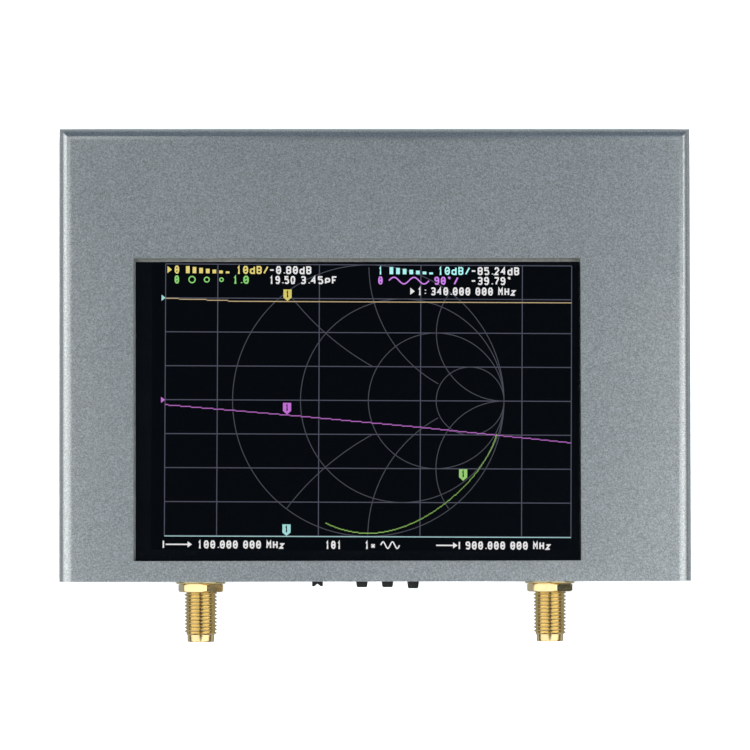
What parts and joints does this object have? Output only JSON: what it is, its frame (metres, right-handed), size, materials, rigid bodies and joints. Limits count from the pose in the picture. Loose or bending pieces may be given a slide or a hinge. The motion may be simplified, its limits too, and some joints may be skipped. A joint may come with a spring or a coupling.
{
  "type": "vector network analyzer",
  "caption": "Hand-held vector network analyzer: folded aluminium enclosure with a wide display, two threaded coaxial test ports, a slide power switch and press buttons.",
  "frame": {"origin": "centre of the overall footprint, on the table under the rubber feet", "axes": "+Z out of the screen, +X to the screen's right, the test ports point along -Y"},
  "size_m": [0.1224, 0.0996, 0.0205],
  "materials": {
    "grey_anodised": "bead-blasted, blue-grey anodised",
    "black_screw": "black zinc",
    "plated_steel": "zinc plated",
    "black_rubber": "matt",
    "clear_glass": "clear, glossy",
    "grey_adhesive": "grey-brown adhesive border",
    "lcd_face": "black display face",
    "display_steel": "bright sheet",
    "white_plastic": "moulded",
    "black_foam": "closed-cell foam",
    "amber_flex": "polyimide film",
    "ivory_plastic": "moulded",
    "board_mask": "solder mask over glass laminate",
    "chip_black": "moulded epoxy",
    "shield_metal": "tinned sheet",
    "ferrite": "sintered",
    "ceramic_chip": "chip parts",
    "led_lens": "diffusing",
    "tape_white": "adhesive tape",
    "battery_foil": "laminated foil pouch",
    "wire_red": "silicone",
    "wire_black": "silicone",
    "switch_black": "moulded",
    "button_black": "moulded, satin",
    "usb_steel": "nickel plated",
    "gold_plate": "gold plated, bright",
    "gold_contact": "gold plated",
    "ptfe_white": "PTFE"
  },
  "bodies": {
    "enclosure": {"front_cover": "grey_anodised", "rear_cover": "grey_anodised", "cover_screws": "black_screw", "clinch_nuts": "plated_steel", "rubber_feet": "black_rubber", "touch_panel": "clear_glass", "touch_adhesive": "grey_adhesive", "lcd_panel": "lcd_face", "lcd_frame": "display_steel", "backlight_unit": "white_plastic", "display_pad": "black_foam", "lcd_flex": "amber_flex", "touch_flex": "amber_flex", "fpc_connector": "ivory_plastic", "main_board": "board_mask", "board_standoffs": "plated_steel", "board_screws": "plated_steel", "rf_chips": "chip_black", "processor_chip": "chip_black", "reference_oscillator": "shield_metal", "charger_inductor": "ferrite", "small_parts": "ceramic_chip", "indicator_leds": "led_lens", "battery_tape": "tape_white", "battery_pack": "battery_foil", "battery_lead_red": "wire_red", "battery_lead_black": "wire_black", "battery_plug": "white_plastic", "battery_socket": "white_plastic", "power_switch_body": "switch_black", "power_switch_plate": "shield_metal", "contact_domes": "shield_metal", "usb_shell": "usb_steel", "usb_tongue": "switch_black", "rf_shield_bridge": "shield_metal", "rf_shield_source": "shield_metal", "rf_shield_receiver": "shield_metal", "button_body_left": "switch_black", "button_clip_left": "shield_metal", "button_body_middle": "switch_black", "button_clip_middle": "shield_metal", "button_body_right": "switch_black", "button_clip_right": "shield_metal", "port_1_shell": "gold_plate", "port_1_nut": "gold_plate", "port_1_washer": "gold_plate", "port_1_insulator": "ptfe_white", "port_1_contact": "gold_contact", "port_2_shell": "gold_plate", "port_2_nut": "gold_plate", "port_2_washer": "gold_plate", "port_2_insulator": "ptfe_white", "port_2_contact": "gold_contact"},
    "power_slider": {"power_switch_slider": "button_black"},
    "left_button": {"button_plunger_left": "button_black"},
    "middle_button": {"button_plunger_middle": "button_black"},
    "right_button": {"button_plunger_right": "button_black"}
  },
  "joints": [
    {"name": "power_switch_slide", "type": "slide", "parent": "enclosure", "child": "power_slider", "axis": [1, 0, 0], "range_m": [0, 0.002]},
    {"name": "left_button_press", "type": "slide", "parent": "enclosure", "child": "left_button", "axis": [0, 1, 0], "range_m": [0, 0.00025], "stiffness_N_per_m": 1500, "springref_m": -0.0002},
    {"name": "middle_button_press", "type": "slide", "parent": "enclosure", "child": "middle_button", "axis": [0, 1, 0], "range_m": [0, 0.00025], "stiffness_N_per_m": 1500, "springref_m": -0.0002},
    {"name": "right_button_press", "type": "slide", "parent": "enclosure", "child": "right_button", "axis": [0, 1, 0], "range_m": [0, 0.00025], "stiffness_N_per_m": 1500, "springref_m": -0.0002}
  ]
}
